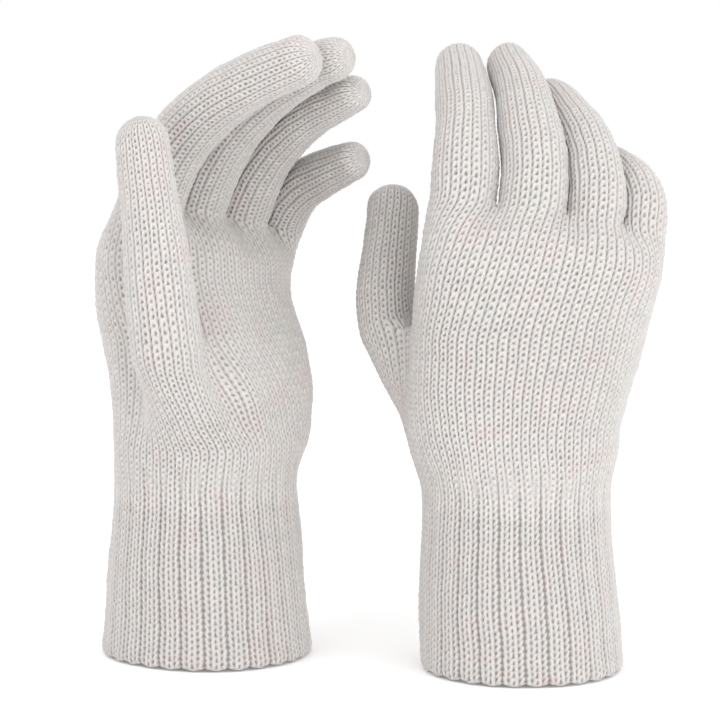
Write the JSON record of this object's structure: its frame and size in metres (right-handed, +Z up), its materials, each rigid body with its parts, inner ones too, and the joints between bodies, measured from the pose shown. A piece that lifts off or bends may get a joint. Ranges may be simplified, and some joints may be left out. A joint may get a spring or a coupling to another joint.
{
  "type": "knitted gloves",
  "caption": "Pair of plain knitted wool gloves with long ribbed cuffs, standing on the cuffs with the fingers slightly curled; wrists, thumbs and fingers bend.",
  "frame": {"origin": "on the surface the cuffs stand on, under the middle of the pair's box", "axes": "+Z up towards the fingertips, +X from the left-hand glove to the right-hand glove, the back of the right-hand glove faces -Y"},
  "size_m": [0.2212, 0.1217, 0.2411],
  "materials": {
    "plain_knit": "matte heather wool, plain knit",
    "rib_knit": "matte heather wool, ribbed",
    "cast_on_edge": "matte heather wool, firm edge"
  },
  "bodies": {
    "left_cuff": {"left_cuff": "rib_knit", "left_cuff_edge": "cast_on_edge", "left_wrist_bend": "plain_knit"},
    "left_hand": {"left_hand": "plain_knit", "left_finger_web": "plain_knit", "left_thumb_root": "plain_knit", "left_index_root": "plain_knit", "left_middle_root": "plain_knit", "left_ring_root": "plain_knit", "left_little_root": "plain_knit"},
    "left_thumb_lower": {"left_thumb_lower": "plain_knit", "left_thumb_bend": "plain_knit"},
    "left_thumb_upper": {"left_thumb_upper": "plain_knit"},
    "left_index_lower": {"left_index_lower": "plain_knit", "left_index_bend": "plain_knit"},
    "left_index_upper": {"left_index_upper": "plain_knit"},
    "left_middle_lower": {"left_middle_lower": "plain_knit", "left_middle_bend": "plain_knit"},
    "left_middle_upper": {"left_middle_upper": "plain_knit"},
    "left_ring_lower": {"left_ring_lower": "plain_knit", "left_ring_bend": "plain_knit"},
    "left_ring_upper": {"left_ring_upper": "plain_knit"},
    "left_little_lower": {"left_little_lower": "plain_knit", "left_little_bend": "plain_knit"},
    "left_little_upper": {"left_little_upper": "plain_knit"},
    "right_cuff": {"right_cuff": "rib_knit", "right_cuff_edge": "cast_on_edge", "right_wrist_bend": "plain_knit"},
    "right_hand": {"right_hand": "plain_knit", "right_finger_web": "plain_knit", "right_thumb_root": "plain_knit", "right_index_root": "plain_knit", "right_middle_root": "plain_knit", "right_ring_root": "plain_knit", "right_little_root": "plain_knit"},
    "right_thumb_lower": {"right_thumb_lower": "plain_knit", "right_thumb_bend": "plain_knit"},
    "right_thumb_upper": {"right_thumb_upper": "plain_knit"},
    "right_index_lower": {"right_index_lower": "plain_knit", "right_index_bend": "plain_knit"},
    "right_index_upper": {"right_index_upper": "plain_knit"},
    "right_middle_lower": {"right_middle_lower": "plain_knit", "right_middle_bend": "plain_knit"},
    "right_middle_upper": {"right_middle_upper": "plain_knit"},
    "right_ring_lower": {"right_ring_lower": "plain_knit", "right_ring_bend": "plain_knit"},
    "right_ring_upper": {"right_ring_upper": "plain_knit"},
    "right_little_lower": {"right_little_lower": "plain_knit", "right_little_bend": "plain_knit"},
    "right_little_upper": {"right_little_upper": "plain_knit"}
  },
  "joints": [
    {"name": "left_wrist", "type": "hinge", "parent": "left_cuff", "child": "left_hand", "pos_m": [-0.06763, 0.00529, 0.081], "axis": [0.6157, 0.788, 0], "range_deg": [-30, 10], "deforming": ["left_wrist_bend"]},
    {"name": "left_thumb_base", "type": "hinge", "parent": "left_hand", "child": "left_thumb_lower", "pos_m": [-0.07768, -0.03882, 0.11561], "axis": [0.693, -0.7209, 0], "range_deg": [0, 30], "deforming": ["left_thumb_root"]},
    {"name": "left_thumb_mid", "type": "hinge", "parent": "left_thumb_lower", "child": "left_thumb_upper", "pos_m": [-0.08052, -0.04879, 0.1462], "axis": [0.693, -0.7209, 0], "range_deg": [0, 45], "deforming": ["left_thumb_bend"]},
    {"name": "left_index_base", "type": "hinge", "parent": "left_hand", "child": "left_index_lower", "pos_m": [-0.08543, -0.0064, 0.18557], "axis": [0.6028, 0.7979, 0], "range_deg": [-15, 30], "deforming": ["left_index_root"]},
    {"name": "left_index_mid", "type": "hinge", "parent": "left_index_lower", "child": "left_index_upper", "pos_m": [-0.06809, -0.01845, 0.21078], "axis": [0.6028, 0.7979, 0], "range_deg": [-15, 45], "deforming": ["left_index_bend"]},
    {"name": "left_middle_base", "type": "hinge", "parent": "left_hand", "child": "left_middle_lower", "pos_m": [-0.07036, 0.01512, 0.18238], "axis": [0.6713, 0.7412, 0], "range_deg": [-15, 30], "deforming": ["left_middle_root"]},
    {"name": "left_middle_mid", "type": "hinge", "parent": "left_middle_lower", "child": "left_middle_upper", "pos_m": [-0.05393, 0.00155, 0.21023], "axis": [0.6713, 0.7412, 0], "range_deg": [-15, 45], "deforming": ["left_middle_bend"]},
    {"name": "left_ring_base", "type": "hinge", "parent": "left_hand", "child": "left_ring_lower", "pos_m": [-0.05383, 0.03222, 0.17805], "axis": [0.7432, 0.6691, 0], "range_deg": [-15, 20], "deforming": ["left_ring_root"]},
    {"name": "left_ring_mid", "type": "hinge", "parent": "left_ring_lower", "child": "left_ring_upper", "pos_m": [-0.0398, 0.01814, 0.20163], "axis": [0.7432, 0.6691, 0], "range_deg": [-15, 45], "deforming": ["left_ring_bend"]},
    {"name": "left_little_base", "type": "hinge", "parent": "left_hand", "child": "left_little_lower", "pos_m": [-0.03826, 0.04343, 0.17328], "axis": [0.7638, 0.6454, 0], "range_deg": [-15, 30], "deforming": ["left_little_root"]},
    {"name": "left_little_mid", "type": "hinge", "parent": "left_little_lower", "child": "left_little_upper", "pos_m": [-0.02817, 0.03204, 0.18565], "axis": [0.7638, 0.6454, 0], "range_deg": [-15, 45], "deforming": ["left_little_bend"]},
    {"name": "right_wrist", "type": "hinge", "parent": "right_cuff", "child": "right_hand", "pos_m": [0.05305, -0.0149, 0.081], "axis": [-1, 0, 0], "range_deg": [-30, 30], "deforming": ["right_wrist_bend"]},
    {"name": "right_thumb_base", "type": "hinge", "parent": "right_hand", "child": "right_thumb_lower", "pos_m": [0.01132, 0.00387, 0.115], "axis": [-0.932, -0.3624, 0], "range_deg": [0, 30], "deforming": ["right_thumb_root"]},
    {"name": "right_thumb_mid", "type": "hinge", "parent": "right_thumb_lower", "child": "right_thumb_upper", "pos_m": [0.00347, 0.01266, 0.13758], "axis": [-0.932, -0.3624, 0], "range_deg": [-15, 45], "deforming": ["right_thumb_bend"]},
    {"name": "right_index_base", "type": "hinge", "parent": "right_hand", "child": "right_index_lower", "pos_m": [0.03288, -0.02173, 0.18557], "axis": [-0.9999, 0.0162, 0], "range_deg": [-15, 30], "deforming": ["right_index_root"]},
    {"name": "right_index_mid", "type": "hinge", "parent": "right_index_lower", "child": "right_index_upper", "pos_m": [0.03406, -0.00065, 0.21078], "axis": [-0.9999, 0.0162, 0], "range_deg": [-15, 45], "deforming": ["right_index_bend"]},
    {"name": "right_middle_base", "type": "hinge", "parent": "right_hand", "child": "right_middle_lower", "pos_m": [0.05912, -0.02311, 0.18238], "axis": [-0.9974, -0.0726, 0], "range_deg": [-15, 30], "deforming": ["right_middle_root"]},
    {"name": "right_middle_mid", "type": "hinge", "parent": "right_middle_lower", "child": "right_middle_upper", "pos_m": [0.05854, -0.0018, 0.21023], "axis": [-0.9974, -0.0726, 0], "range_deg": [-15, 45], "deforming": ["right_middle_bend"]},
    {"name": "right_ring_base", "type": "hinge", "parent": "right_hand", "child": "right_ring_lower", "pos_m": [0.08277, -0.02061, 0.17805], "axis": [-0.9848, -0.1737, 0], "range_deg": [-15, 20], "deforming": ["right_ring_root"]},
    {"name": "right_ring_mid", "type": "hinge", "parent": "right_ring_lower", "child": "right_ring_upper", "pos_m": [0.08031, -0.00088, 0.20163], "axis": [-0.9848, -0.1737, 0], "range_deg": [-15, 45], "deforming": ["right_ring_bend"]},
    {"name": "right_little_base", "type": "hinge", "parent": "right_hand", "child": "right_little_lower", "pos_m": [0.10119, -0.01524, 0.17328], "axis": [-0.9789, -0.2046, 0], "range_deg": [-15, 30], "deforming": ["right_little_root"]},
    {"name": "right_little_mid", "type": "hinge", "parent": "right_little_lower", "child": "right_little_upper", "pos_m": [0.09842, -0.00028, 0.18565], "axis": [-0.9789, -0.2046, 0], "range_deg": [-15, 45], "deforming": ["right_little_bend"]},
    {"name": "right_glove_apart", "type": "slide", "parent": "left_cuff", "child": "right_cuff", "axis": [1, 0, 0], "range_m": [0, 0.1]}
  ]
}
